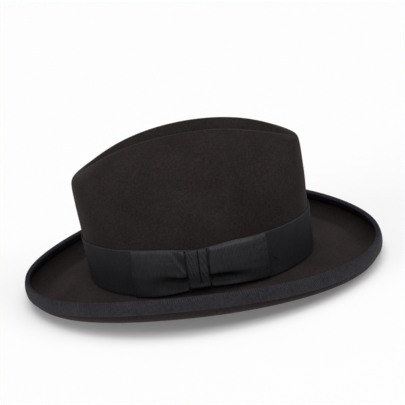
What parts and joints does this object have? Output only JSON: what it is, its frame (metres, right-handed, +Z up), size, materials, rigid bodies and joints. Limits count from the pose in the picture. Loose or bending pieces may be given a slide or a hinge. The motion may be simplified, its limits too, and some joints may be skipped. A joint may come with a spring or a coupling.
{
  "type": "homburg hat",
  "caption": "Homburg hat in dark felt with a lengthwise centre crease, a wide ribbed ribbon band, a flat side bow and a curled brim bound in ribbon.",
  "frame": {"origin": "centre of the bounding box on the surface that the brim rests on", "axes": "+Z up, -Y towards the front of the hat, +X towards the wearer's left, where the bow is"},
  "size_m": [0.2828, 0.3342, 0.1446],
  "materials": {
    "felt": "matte felt with a short nap",
    "band_ribbon": "ribbed grosgrain with a faint sheen",
    "bow_ribbon": "ribbed grosgrain with a faint sheen",
    "binding_ribbon": "ribbed grosgrain with a faint sheen"
  },
  "bodies": {
    "root": {"felt_body": "felt", "hat_band": "band_ribbon", "bow_ribbon": "bow_ribbon", "bow_knot": "bow_ribbon", "brim_binding": "binding_ribbon"}
  },
  "joints": []
}
